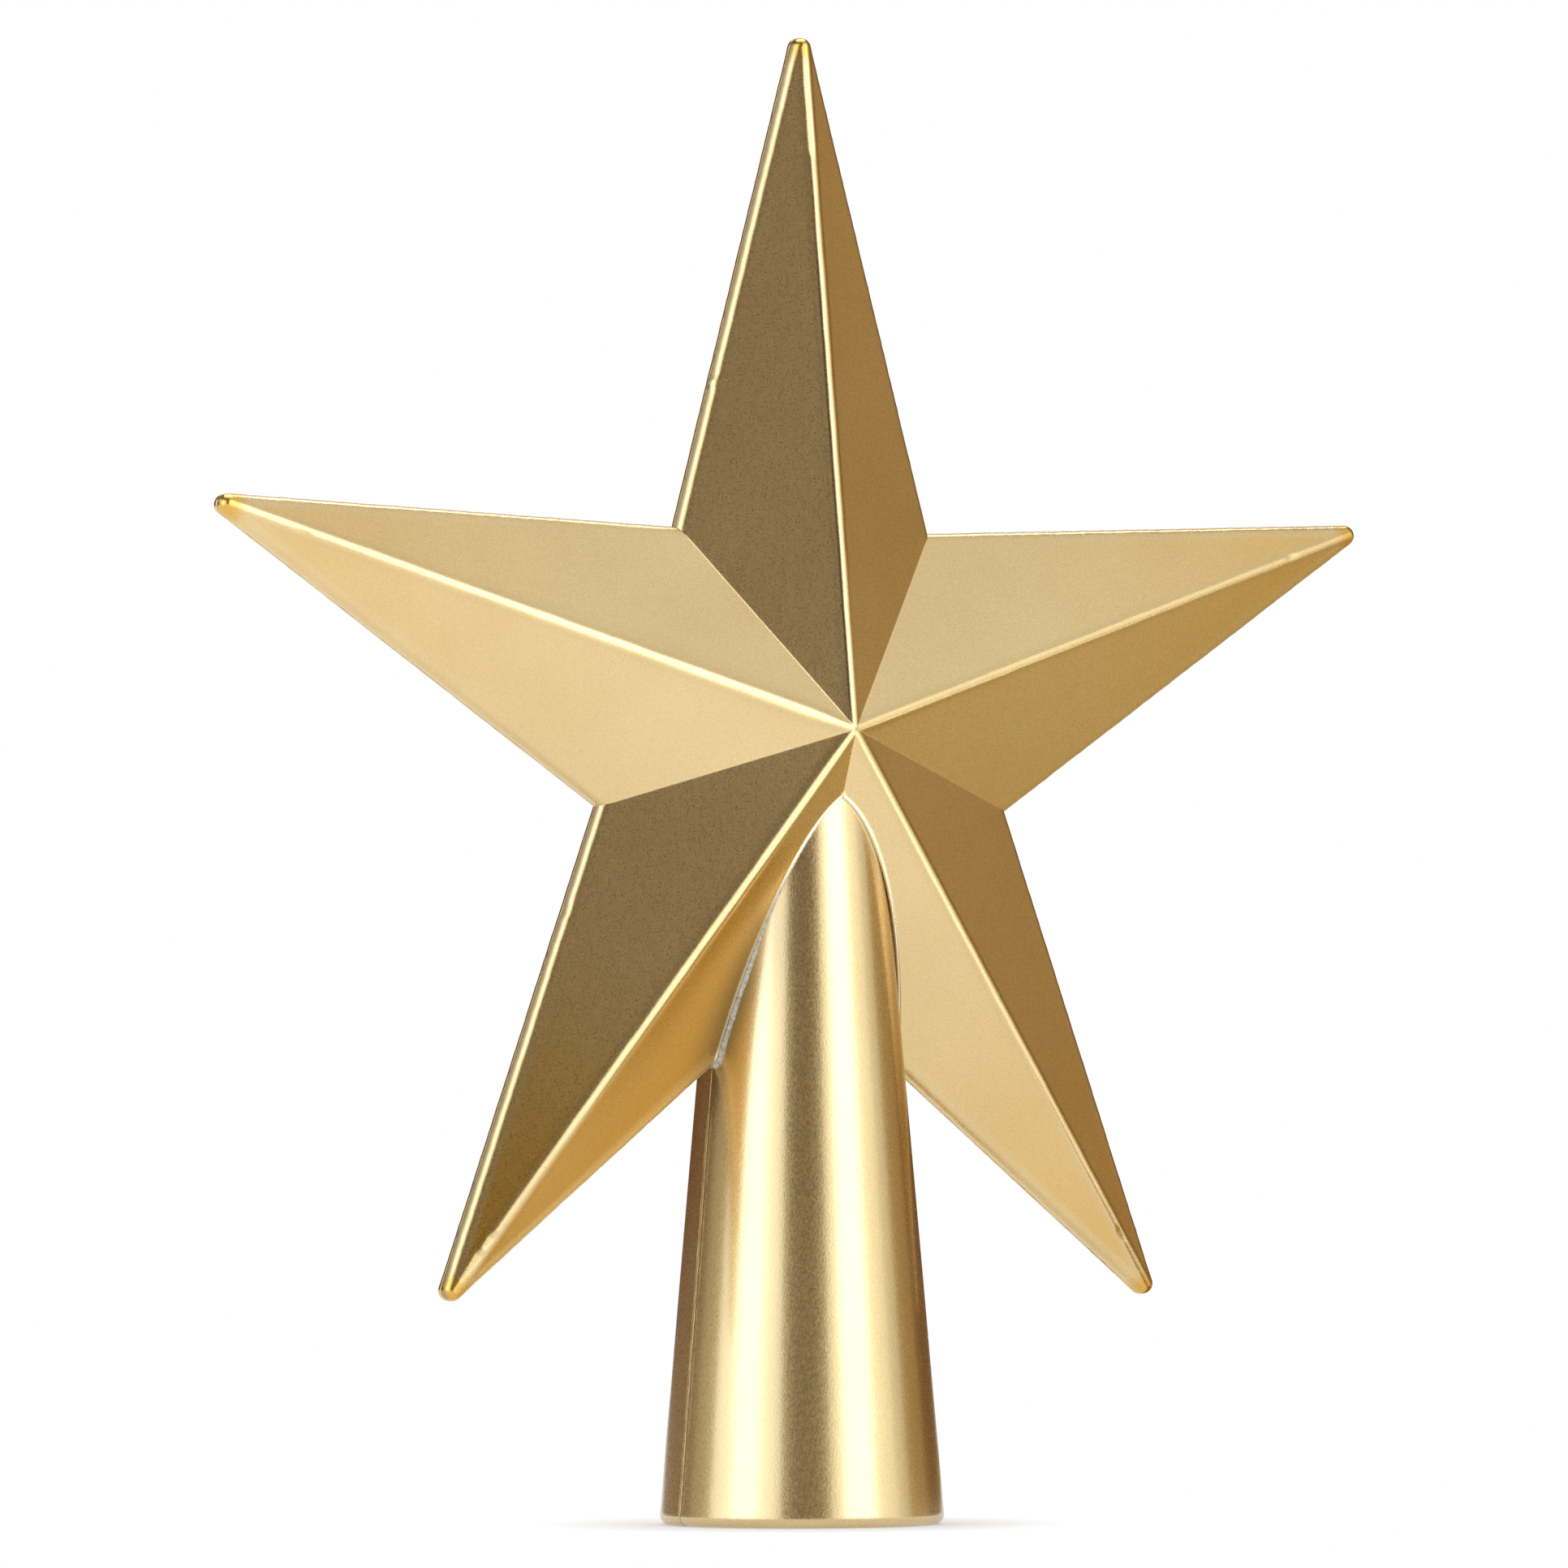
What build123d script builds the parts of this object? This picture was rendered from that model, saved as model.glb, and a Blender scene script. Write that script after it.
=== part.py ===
"""Faceted five-pointed tree topper star on a hollow tapered socket, in millimetres.

The star stands upright: front towards -Y, +X to the viewer's right, +Z up. The origin is the centre
of the socket's mouth, on the plane that its rim stands on.
"""
import os
from math import atan2, cos, hypot, radians, sin, tan

from build123d import *

# Star in plan, as seen from the front
point_count = 5
point_radius = 92.4  # centre to the corner that a point would have without its rounding
notch_radius = 31.8  # centre to the corner between two points
tip_round = 1.4  # radius at the end of a point
star_centre_height = 100.75  # star centre above the rim that the socket stands on

# Star in section
crown_height = 13.7  # seam plane to the corner where the facets would all meet
rim_height = 1.08  # straight edge band of one shell
ridge_round = 1.4
rim_round = 0.8
shell_wall = 1.4
seam_cement = 0.2  # thickness of the cement line between two halves

# Locating pegs inside the points
peg_station = 46.0  # star centre to peg
peg_radius = 1.3
peg_reach = 3.0  # how far a peg enters the other shell
peg_clearance = 0.1
boss_radius = 2.6
boss_setback = 0.15  # the boss stops short of the seam, so that the rims close first

# Tapered socket
mouth_radius = 18.15
end_radius = 9.64  # outside, at the closed end inside the star
socket_wall = 2.0
mouth_round = 1.2
end_bevel = 0.8
end_wall = 2.0
end_below_centre = 2.5  # closed end of the socket, below the star centre

# Arch cut in each star shell, where the socket comes out
arch_gap = 0.08  # gap at the height of the socket's closed end
arch_flare = 1.35  # degrees by which the cut opens faster than the socket
glue_stop = 0.7  # the glue ends this far from the star's middle plane
glue_proud = 0.4  # how far the glue stands out of the facets
glue_shrink = 0.03  # how far it has drawn away from the cut as it dried

# Derived values
half_sector = radians(180 / point_count)
tip_angle = atan2(notch_radius * sin(half_sector), point_radius - notch_radius * cos(half_sector))
edge_distance = point_radius * sin(tip_angle)
facet_rise = crown_height - rim_height
facet_slope = atan2(facet_rise, edge_distance)
tip_reach = point_radius - tip_round * (1 / sin(tip_angle) - 1)
half_cement = seam_cement / 2
boss_foot = half_cement + boss_setback
socket_height = star_centre_height - end_below_centre
socket_taper = atan2(mouth_radius - end_radius, socket_height)  # from the axis
below_seam = 4 * rim_height
above_crown = 2 * ridge_round
all_round = 4 * point_radius  # side of a block that takes in the whole star
touching = rim_round / 50

TO_FRONT = Location((0, 0, star_centre_height), (90, 0, 0))
TO_BACK = Location((0, 0, 0), (0, 0, 180))


def ridge_profile(scale, rounding):
    """Cross-section of one point, square to its ridge: two flanks that meet in a rounded top."""
    fall = atan2(facet_rise, point_radius)
    across = sin(facet_slope) * cos(tip_angle)
    upward = sin(facet_slope) * sin(tip_angle) * sin(fall) + cos(facet_slope) * cos(fall)
    half_width = scale * point_radius
    depth = half_width * across / upward
    corners = [(0, 0), (half_width, depth), (half_width, 2 * depth), (-half_width, 2 * depth)]
    section = Polygon(*corners, (-half_width, depth), align=None)
    if rounding > 0:
        section = fillet(section.vertices().sort_by(Axis.Y)[0], rounding)
    return section


def star_point(scale, crown, rounding, tip):
    """One point of the star block, cut from a prism along the ridge by the point's kite outline."""
    fall = atan2(facet_rise, point_radius)
    along = Vector(0, cos(fall), -sin(fall))
    start = Vector(0, 0, crown) - along * above_crown
    section = Plane(origin=start, x_dir=(1, 0, 0), z_dir=along) * ridge_profile(scale, rounding)
    roof = extrude(section, hypot(point_radius, facet_rise) + 2 * above_crown)
    side = scale * notch_radius * sin(half_sector)
    shoulder = scale * notch_radius * cos(half_sector)
    kite = Polygon((0, 0), (side, shoulder), (0, scale * point_radius), (-side, shoulder), align=None)
    if tip > 0:
        kite = fillet(kite.vertices().sort_by(Axis.Y)[-1], tip)
    column = Pos(0, 0, -below_seam) * extrude(kite, below_seam + crown + above_crown)
    return roof & column


def rim_edges(point):
    """Edges of an outer point where its roof meets its edge band, up one side and round the tip."""
    tip_centre = point_radius - tip_round / sin(tip_angle)
    chosen = []
    for edge in point.edges():
        middle = edge @ 0.5
        level = abs((edge % 0.5).Z) < 0.9
        from_side = edge_distance - abs(middle.X) * cos(tip_angle) - middle.Y * sin(tip_angle)
        from_tip = tip_round - hypot(middle.X, middle.Y - tip_centre)
        on_tip = abs(from_tip) < touching and middle.Y > tip_centre
        if level and middle.Z > 0 and (abs(from_side) < touching or on_tip):
            chosen.append(edge)
    return chosen


def around_star(piece):
    """Copies of a piece of one point, turned into every point of the star."""
    return [Rot(0, 0, index * 360 / point_count) * piece for index in range(point_count)]


def outer_block():
    """Outside of one shell as a solid block that reaches below the seam plane."""
    point = star_point(1, crown_height, ridge_round, tip_round)
    return Part() + around_star(fillet(rim_edges(point), rim_round))


def cavity_block():
    """Hollow of one shell: the same star, one wall inside the facets and the edge band."""
    scale = (edge_distance - shell_wall) / edge_distance
    crown = crown_height - shell_wall / cos(facet_slope)
    hollow = Part() + around_star(star_point(scale, crown, 0, 0))
    return hollow & Cylinder(tip_reach - shell_wall, 4 * crown_height)


def pins(radius, low, high):
    """Round pins, one under each ridge, from one height above the seam plane to another."""
    pin = Cylinder(radius, high - low, align=(Align.CENTER, Align.CENTER, Align.MIN))
    return around_star(Pos(0, peg_station, low) * pin)


def star_shell(outer, cavity):
    """One shell with the bosses under its ridges, above the cement line."""
    bosses = Part() + pins(boss_radius, boss_foot, crown_height)
    over_seam = Pos(0, 0, half_cement + all_round / 2) * Box(all_round, all_round, all_round)
    return ((outer - cavity) + (bosses & outer)) & over_seam


def socket_radius(height):
    """Outside radius of the socket at a height above its rim."""
    return mouth_radius - height * tan(socket_taper)


def socket_cone():
    """Outside of the socket as a solid of revolution with a rounded mouth edge and a bevelled end."""
    corners = [(0, 0), (mouth_radius, 0), (end_radius, socket_height), (0, socket_height)]
    section = make_face(Polyline(*corners, close=True))
    outside = section.vertices().filter_by(lambda corner: corner.X > 0).sort_by(Axis.Y)
    section = fillet(outside[0], mouth_round)
    outside = section.vertices().filter_by(lambda corner: corner.X > 0).sort_by(Axis.Y)
    section = chamfer(outside[-1], end_bevel)
    return revolve(Plane.XZ * section, Axis.Z)


def socket_bore():
    """Tapered hollow of the socket, open at the mouth and closed at the top."""
    side_wall = socket_wall / cos(socket_taper)
    top = socket_height - end_wall
    return Cone(
        mouth_radius - side_wall,
        socket_radius(top) - side_wall,
        top,
        align=(Align.CENTER, Align.CENTER, Align.MIN),
    )


def arch_cone(inset):
    """Cone of the arch cut, drawn in by an inset: the socket with a gap that grows towards its mouth."""
    slope = tan(socket_taper + radians(arch_flare))
    top = socket_height + arch_gap
    narrow = end_radius + arch_gap - inset
    return Cone(
        narrow + top * slope,
        narrow,
        top,
        align=(Align.CENTER, Align.CENTER, Align.MIN),
    )


def in_front(distance):
    """Block of everything that lies in front of the star's middle plane by a distance."""
    block = Box(all_round, all_round, all_round, align=(Align.CENTER, Align.MAX, Align.CENTER))
    return Pos(0, -distance, star_centre_height) * block


def middle_slab():
    """The cement line's slice of the middle plane."""
    return Pos(0, 0, star_centre_height) * Box(all_round, seam_cement, all_round)


def star_pieces(outer, cavity):
    """The two star shells, pegged together, and the cement between their rims."""
    shell = star_shell(outer, cavity)
    sockets = pins(peg_radius + peg_clearance, 0, boss_foot + peg_reach)
    pegs = pins(peg_radius, -peg_reach, boss_foot + peg_radius)
    seam = TO_FRONT * (outer - cavity) & middle_slab()
    return {
        "front_star_shell": TO_FRONT * (shell - sockets) - arch_cone(0),
        "back_star_shell": TO_BACK * TO_FRONT * (shell + pegs) - arch_cone(0),
        "star_seam_cement": seam - arch_cone(0),
    }


def socket_pieces():
    """The two halves of the socket and the cement between them."""
    socket = socket_cone() - socket_bore()
    front = socket & in_front(half_cement)
    return {
        "front_socket_half": front,
        "back_socket_half": TO_BACK * front,
        "socket_seam_cement": socket & middle_slab(),
    }


def glue_pieces(outer, cavity):
    """The two beads of glue that fill the gap between the socket and the arch cuts."""
    gap = arch_cone(glue_shrink) - socket_cone()
    reach = Pos(0, 0, glue_proud) * outer - cavity
    bead = gap & (TO_FRONT * reach) & in_front(glue_stop)
    return {"front_arch_glue": bead, "back_arch_glue": TO_BACK * bead}


def main():
    os.makedirs("parts", exist_ok=True)
    outer = outer_block()
    cavity = cavity_block()
    pieces = star_pieces(outer, cavity) | socket_pieces() | glue_pieces(outer, cavity)
    for name, piece in pieces.items():
        export_step(piece, f"parts/{name}.step")


if __name__ == "__main__":
    main()
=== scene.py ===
# %% [markdown]
# # A faceted star for the top of a tree
# The real thing is a small gold decoration: two thin moulded star shells, glued rim to rim, on a hollow
# tapered socket that goes over the tip of a tree. The solid model gives its true sizes. This script lays
# a finer skin over every solid, paints it and lights it as in a small photo studio.

import bmesh
import bpy
import numpy as np
from mathutils import Matrix, Vector


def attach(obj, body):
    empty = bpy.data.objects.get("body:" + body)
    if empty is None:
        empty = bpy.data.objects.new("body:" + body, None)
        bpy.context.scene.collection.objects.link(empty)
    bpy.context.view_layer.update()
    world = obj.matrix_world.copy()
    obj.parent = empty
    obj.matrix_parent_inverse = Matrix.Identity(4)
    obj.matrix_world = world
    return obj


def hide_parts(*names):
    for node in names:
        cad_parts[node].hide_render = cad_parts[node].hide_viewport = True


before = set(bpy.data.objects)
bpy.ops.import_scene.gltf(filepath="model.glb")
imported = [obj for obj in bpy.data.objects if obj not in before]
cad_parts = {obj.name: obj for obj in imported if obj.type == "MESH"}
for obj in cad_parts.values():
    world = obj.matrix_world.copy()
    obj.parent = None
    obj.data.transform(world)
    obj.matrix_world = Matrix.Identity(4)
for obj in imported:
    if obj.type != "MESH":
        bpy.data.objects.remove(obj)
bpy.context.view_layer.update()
scene = bpy.context.scene
print("solid pieces:", sorted(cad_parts))

# %% [markdown]
# ## Measures
# A mould maker would start from the star's plan: five points, a notch between each two, and one height
# for the crown. The rest follows from these. Lengths are in millimetres until a mesh is laid down. In
# plan, x runs to the viewer's right, y up, and the height h towards the viewer.

# %% Measures of the star
MM = 0.001
point_radius, notch_radius, tip_round = 92.4, 31.8, 1.4
star_height = 100.75
crown, rim = 13.7, 1.08
ridge_round, rim_round, valley_round, sharp_valley = 1.4, 1.45, 0.55, 0.12
bead_height, bead_reach, chip_blend = 0.10, 0.75, 0.05
lip_round, lip_height, lip_place, lip_reach = 0.18, 0.16, 0.17, 0.20
shell_wall, half_cement = 1.4, 0.1
sector = np.pi / 5
tip_angle = np.arctan2(notch_radius * np.sin(sector), point_radius - notch_radius * np.cos(sector))
tip_cos, tip_sin = np.cos(tip_angle), np.sin(tip_angle)
edge_distance = point_radius * tip_sin
fall = (crown - rim) / edge_distance
tip_centre = point_radius - tip_round / tip_sin
tip_reach = tip_centre + tip_round
notch_along = notch_radius * np.cos(sector)
inner_scale = 1 - shell_wall / edge_distance
print(f"facets fall {fall:.4f} mm per mm, points reach {tip_reach:.2f} mm")

# %% Measures of the socket and the arch
mouth_radius, end_radius, socket_height = 18.15, 9.64, 98.25
socket_wall, end_wall, mouth_round, end_round = 2.0, 2.0, 1.2, 0.8
taper = np.arctan2(mouth_radius - end_radius, socket_height)
arch_gap, arch_flare = 0.05, np.radians(0.35)


def socket_radius(z):
    """Outside radius of the socket: the mouth's, less the height times the taper."""
    return mouth_radius - z * np.tan(taper)


def arch_radius(z):
    """Radius of the arch cut: the socket's end and a gap, growing downwards faster than the socket."""
    return end_radius + arch_gap + (socket_height + arch_gap - z) * np.tan(taper + arch_flare)


print(f"socket tapers {np.degrees(taper):.2f} deg a side")

# %% [markdown]
# ## Laying a grid down as a mesh
# Each piece is computed as whole grids of points. Grids that share an edge have the same points there, so
# joining equal points closes the skin. Faces that have shrunk to a line, as at the crown, are left out.
# A wave, an even climb and a smooth hill shape the uneven places later on.

# %% Helpers that turn grids into a closed, smooth mesh
join_distance = 1e-5


def grid_faces(rows, columns, first=0):
    """Quads of a grid whose point (i, j) has the number first + i * columns + j."""
    number = first + np.arange(rows * columns).reshape(rows, columns)
    corners = number[:-1, :-1], number[:-1, 1:], number[1:, 1:], number[1:, :-1]
    return np.stack(corners, axis=-1).reshape(-1, 4)


def join_grids(grids):
    """Points and quads of several grids, one grid after another."""
    starts = np.cumsum([0] + [grid[..., 0].size for grid in grids])
    quads = [grid_faces(*grid.shape[:2], first) for grid, first in zip(grids, starts)]
    return np.concatenate([grid.reshape(-1, grid.shape[2]) for grid in grids]), np.concatenate(quads)


def lay_mesh(name, points, quads, extra=(), tones=None):
    """Joins equal points, drops collapsed quads, turns normals outwards and keeps the paint's tones."""
    keys = np.round(points / join_distance).astype(np.int64)
    _, first, number = np.unique(keys, axis=0, return_index=True, return_inverse=True)
    number = number.reshape(-1)
    quads = number[quads]
    same = quads == np.roll(quads, -1, axis=1)
    collapsed = same.sum(axis=1)
    triangles = quads[collapsed == 1][~same[collapsed == 1]].reshape(-1, 3)
    faces = quads[collapsed == 0].tolist() + triangles.tolist()
    faces += [number[loop].tolist() for loop in extra]
    mesh = bpy.data.meshes.new(name)
    mesh.from_pydata((points[first] * MM).tolist(), [], faces)
    work = bmesh.new()
    work.from_mesh(mesh)
    bmesh.ops.recalc_face_normals(work, faces=work.faces)
    open_edges = sum(1 for edge in work.edges if len(edge.link_faces) != 2)
    work.to_mesh(mesh)
    work.free()
    mesh.shade_smooth()
    for kind, values in (tones or {}).items():
        layer = mesh.attributes.new(kind, "FLOAT", "POINT")
        layer.data.foreach_set("value", values[first].astype(np.float32))
    piece = bpy.data.objects.new(name, mesh)
    scene.collection.objects.link(piece)
    print(f"{name}: {len(mesh.vertices)} points, {len(mesh.polygons)} faces, {open_edges} open edges")
    return piece


def lay_carried(name, grid):
    """Lays down a section carried along a line, closed at both ends."""
    rows, columns = grid.shape[:2]
    last = (rows - 1) * columns
    ends = [list(range(columns - 1)), list(range(last, last + columns - 1))]
    return lay_mesh(name, grid.reshape(-1, 3), grid_faces(rows, columns), ends)


def ripple(u, seed, lengths):
    """Uneven wave: the mean of sines of the given lengths, with seeded chance phases."""
    phase = np.random.default_rng(seed).uniform(0, 2 * np.pi, len(lengths))
    waves = [np.sin(2 * np.pi * u / length + shift) for length, shift in zip(lengths, phase)]
    return sum(waves) / len(lengths)


def rise(value, start, length):
    """0 up to the start, 1 from a length beyond it, and an even climb between."""
    return np.clip((value - start) / length, 0, 1)


def hill(offset, reach, power=2):
    """Smooth hill of height 1: the exponential of minus a power of offset over reach."""
    return np.exp(-((offset / reach) ** power))


print("a grid of 3 by 4 points has", len(grid_faces(3, 4)), "faces")

# %% [markdown]
# ## The facets
# A shell is a five-sided roof drawn out into points. On one half of a point the height falls evenly
# towards the edge. The ridge is not sharp: it is worn round, and paint has gathered on it in a low bead.
# The round catches the light as the bright line down every point, and the bead's foot shows as the thin
# dark line beside it. The edge curls over in the same way.

# %% Folds and edges of a point


def rounded_fold(offset, slope, radius):
    """Fall from a fold: slope times offset, or near the middle the arc that touches both flanks."""
    lean = np.arctan(slope)
    touch = radius * np.sin(lean)
    off = np.abs(offset)
    arc = slope * touch + radius * np.cos(lean) - np.sqrt(np.maximum(radius**2 - off**2, 0))
    return np.where(off < touch, arc, slope * off)


def greater(first, second, blend):
    """The greater of two values, with the corner between them smoothed by a blend."""
    return (first + second + np.sqrt((first - second) ** 2 + blend**2)) / 2


def edge_gap(across, along):
    """Distance inside the outline and the way out: off the straight edge, or off the tip's circle."""
    up = along - tip_centre
    reach = np.maximum(np.hypot(across, up), 1e-9)
    at_tip = up * tip_cos > across * tip_sin
    straight = edge_distance - across * tip_cos - along * tip_sin
    gap = np.where(at_tip, tip_round - reach, straight)
    out_across = np.where(at_tip, across / reach, tip_cos)
    out_along = np.where(at_tip, up / reach, tip_sin)
    return np.maximum(gap, 0), out_across, out_along


def half_width(along):
    """Half width of a point: up to the valley, then to the straight edge, then to the tip's circle."""
    valley = along * np.tan(sector)
    edge = (point_radius - along) * np.tan(tip_angle)
    tip = np.sqrt(np.maximum(tip_round**2 - (along - tip_centre) ** 2, 0))
    touch = tip_centre + tip_round * tip_sin
    return np.where(along < notch_along, valley, np.where(along < touch, edge, tip))


def inner_half_width(along):
    """Half width of the hollow: the plan without rounding, scaled so that its edges lie one wall inside."""
    edge = (inner_scale * point_radius - along) * np.tan(tip_angle)
    return np.maximum(np.minimum(along * np.tan(sector), edge), 0)


print(f"a point is {2 * half_width(notch_along):.2f} mm wide")

# %% Heights of a shell over its plan


def roof(across, along, crest):
    """Crown less the falls along the ridge and across it, with the ridge's round, bead and chips."""
    shift, width, chip, chip_lean, valley_radius = crest
    ridge = rounded_fold(across - shift, fall * tip_cos, width)
    ridge = ridge - bead_height * hill(across - shift, bead_reach * width / ridge_round, 4)
    ridge = np.where(chip > 0, greater(ridge, chip + chip_lean * across, chip_blend), ridge)
    valley = fall * np.cos(tip_angle + sector)
    from_valley = np.maximum(along * np.sin(sector) - across * np.cos(sector), 0)
    fill = rounded_fold(from_valley, valley, valley_radius) - valley * from_valley
    return crown - fall * tip_sin * along - ridge + fill


def skin_height(across, along, crest):
    """Roof height, less the quarter round by which the edge curls over into the straight band."""
    lean = np.arctan(fall)
    curl_width = rim_round * (1 - np.sin(lean))
    gap, out_across, out_along = edge_gap(across, along)
    inward = np.maximum(curl_width - gap, 0)
    top = roof(np.maximum(across - out_across * inward, 0), along - out_along * inward, crest)
    beyond = rim_round - np.minimum(gap, curl_width)
    under = rim_round * np.cos(lean) - np.sqrt(rim_round**2 - beyond**2)
    return top - np.where(gap < curl_width, under, 0)


def plain_skin(across, along):
    """Outer skin without any unevenness of the ridge."""
    return skin_height(across, along, (0, ridge_round, 0, 0, valley_round))


def inner_height(across, along):
    """Roof of the hollow: the same flat facets, one wall further in, without rounding."""
    inner_crown = crown - shell_wall * np.hypot(1, fall)
    return inner_crown - fall * (across * tip_cos + along * tip_sin)


print(f"crown stands {plain_skin(0, 0):.2f} mm above the seam plane")

# %% [markdown]
# ## The arch
# The socket leaves the star through a pointed arch, cut across the two lower points and the valley
# between them. Its line is where the facets meet a cone. There is no neat formula for it, so it is found
# by halving: on each row it lies between the ridge, outside the cut, and the valley, inside it.

# %% Find the line of the arch
lower_point = np.radians(306)
near_hub, near_tip = 2.0, 60.0


def arch_offset(across, along, height):
    """How far a place on the lower right point stands off the cut cone."""
    x = along * np.cos(lower_point) + across * np.sin(lower_point)
    y = along * np.sin(lower_point) - across * np.cos(lower_point)
    return np.hypot(x, height) - arch_radius(star_height + y)


def halve(outside, inside, is_outside):
    """Crossing between two values by repeated halving, for whole arrays at once."""
    for _ in range(50):
        middle = (outside + inside) / 2
        out = is_outside(middle)
        outside, inside = np.where(out, middle, outside), np.where(out, inside, middle)
    return (outside + inside) / 2


def arch_breaks(height, width):
    """Where along a lower point the valley meets the top of the arch, and where the edge meets its foot."""

    def clear(along):
        return arch_offset(width(along), along, height(width(along), along)) > 0

    return halve(near_hub, notch_along, clear), halve(near_tip, notch_along, clear)


def arch_across(along, height, width):
    """Distance from the ridge to the line of the arch, on each row."""

    def clear(across):
        return arch_offset(across, along, height(across, along)) > 0

    return halve(0 * along, width(along), clear)


peak, foot = arch_breaks(plain_skin, half_width)
inner_peak, inner_foot = arch_breaks(inner_height, inner_half_width)
print(f"arch from {peak:.2f} to {foot:.2f} mm along a point")

# %% [markdown]
# ## Rows and columns of one half point
# Rows run square across the point, closer together near every corner of the plan. Columns run from the
# ridge to the outline, crowded where the ridge and the edge are round. A cosine spacing does the first,
# fixed distances the second.

# %% Spacing of rows and columns
row_counts = [14, 26, 26, 120]
ridge_columns = np.array([0, 0.1, 0.2, 0.3, 0.4, 0.5, 0.58, 0.65, 0.72, 0.79, 0.87, 0.97, 1.15, 1.5])
edge_columns = np.array([1.2, 0.85, 0.65, 0.5, 0.37, 0.26, 0.17, 0.1, 0.05, 0.018, 0])
middle_columns, inner_columns = 7, 5
narrow = 3.2


def cosine_rows(breaks):
    """Rows between given stations, with the spacing of points on a circle seen from the side."""
    turns = [(1 - np.cos(np.linspace(0, np.pi, count + 1)[:-1])) / 2 for count in row_counts]
    parts = [low + (high - low) * turn for low, high, turn in zip(breaks, breaks[1:], turns)]
    return np.append(np.concatenate(parts), breaks[-1])


def spread(width):
    """Distances from the ridge: fixed near ridge and edge, even between, drawn in on a narrow point."""
    squeeze = np.minimum(1, width / narrow)[:, None]
    near = ridge_columns * squeeze
    far = width[:, None] - edge_columns / tip_cos * squeeze
    share = np.linspace(0, 1, middle_columns + 2)[1:-1]
    middle = near[:, -1:] + (far[:, :1] - near[:, -1:]) * share
    return np.concatenate([near, middle, far], axis=1)


outer_rows = cosine_rows([0, peak, notch_along, foot, tip_reach])
inner_notch, inner_tip = inner_scale * notch_along, inner_scale * point_radius
inner_rows = cosine_rows([0, inner_peak, inner_notch, inner_foot, inner_tip])
peak_row, notch_row, foot_row = np.cumsum(row_counts)[:3]
arch_rows = slice(peak_row, foot_row + 1)
print(f"{len(outer_rows)} rows and {spread(np.array([5.0])).shape[1]} columns on each half point")

# %% [markdown]
# ## Small faults that make it real
# The star is a cheap moulding, and it shows. Some ridges are worn wide, and all are chipped near the
# tip: a plane cuts the ridge off, leaning to one side. The edges are a touch wavy and have taken two
# knocks, and the facets have sunk by some hundredths of a millimetre. Where two points meet, each
# fault has faded out or is shared.

# %% Faults of the ridges and valleys
TOP, LEFT, LOWER_LEFT, LOWER_RIGHT, RIGHT = range(5)
point_turns = np.radians(90 + 72 * np.arange(5))
ridge_wear = [(1, 1), (1.55, 1.25), (1.2, 1.3), (1, 1), (1.1, 0.9)]  # shares of the radius, at hub and tip
ridge_chips = [  # point, side, start and end along the ridge, depth at both
    (TOP, -1, 73.2, 87.5, 0.11, 0.08),
    (LEFT, -1, 77.0, 78.6, 0.12, 0.07),
    (LOWER_LEFT, 1, 78.6, 81.3, 0.17, 0.07),
    (LOWER_LEFT, 1, 81.4, 86.0, 0.18, 0.05),
    (LOWER_RIGHT, 1, 78.2, 80.2, 0.12, 0.07),
    (RIGHT, -1, 76.2, 77.8, 0.12, 0.07),
]
chip_slope = 0.25
# The top ridge's left half carries a low burr, and beside it a painted shade line and a painted highlight
# line.
lined_half, line_end, line_fade = (TOP, -1), 84, 30
burr_height, burr_place, burr_reach = 0.035, 0.88, 0.09


def ridge_shift(point, along, seed):
    """Sideways place of a ridge: a faint wave that fades out at the crown and at the tip."""
    fade = rise(along, 8, 8) * rise(tip_reach - along, 0, 3)
    return fade * 0.035 * ripple(along, seed + point, [31, 17, 9.5, 5.2])


def ridge_width(point, along, seed):
    """Radius of a ridge: the common one times its wear between hub and tip, and a little uneven."""
    uneven = rise(along, 8, 8) * 0.07 * ripple(along, seed + 20 + point, [23, 11, 6.1])
    at_hub, at_tip = ridge_wear[point]
    worn = at_hub + (at_tip - at_hub) * along / point_radius
    return ridge_round * (1 + rise(along, 1.5, 5) * (worn - 1) + uneven)


def ridge_chip(point, side, along):
    """Depth of the chips along a ridge, deepest where they start, and their lean on one side of it."""
    depth, lean = 0 * along, 0 * along
    for owner, chip_side, start, end, first, last in ridge_chips:
        inside = (owner == point) & (along > start) & (along < end)
        depth = np.where(inside, first + (last - first) * (along - start) / (end - start), depth)
        lean = np.where(inside, chip_slope * side * chip_side, lean)
    return depth, lean


def ridge_burr(half, across, along):
    """Low burr along the left foot of the top ridge, where paint has dried in a finer line."""
    if half != lined_half:
        return 0
    shown = rise(along, 3, 6) * rise(line_end - along, 0, line_fade)
    return burr_height * shown * hill(across - burr_place, burr_reach)


def valley_width(half, along):
    """Radius of a valley. The one on the right is sharp, and widens to the common one at the crown."""
    if half not in ((RIGHT, 1), (LOWER_RIGHT, -1)):
        return valley_round
    return valley_round + (sharp_valley - valley_round) * rise(along, 0.2, 2)


sample = np.linspace(20, 86, 300)
print("top ridge wanders over", np.ptp(ridge_shift(TOP, sample, 1)).round(3), "mm")

# %% Faults of the edges and facets
rim_knocks = [(TOP, -1, 44.1, 0.15), (LOWER_LEFT, 1, 39.1, -0.15)]  # point, side, place, how far out
knock_reach = 0.7
sink_depth = 0.030


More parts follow.
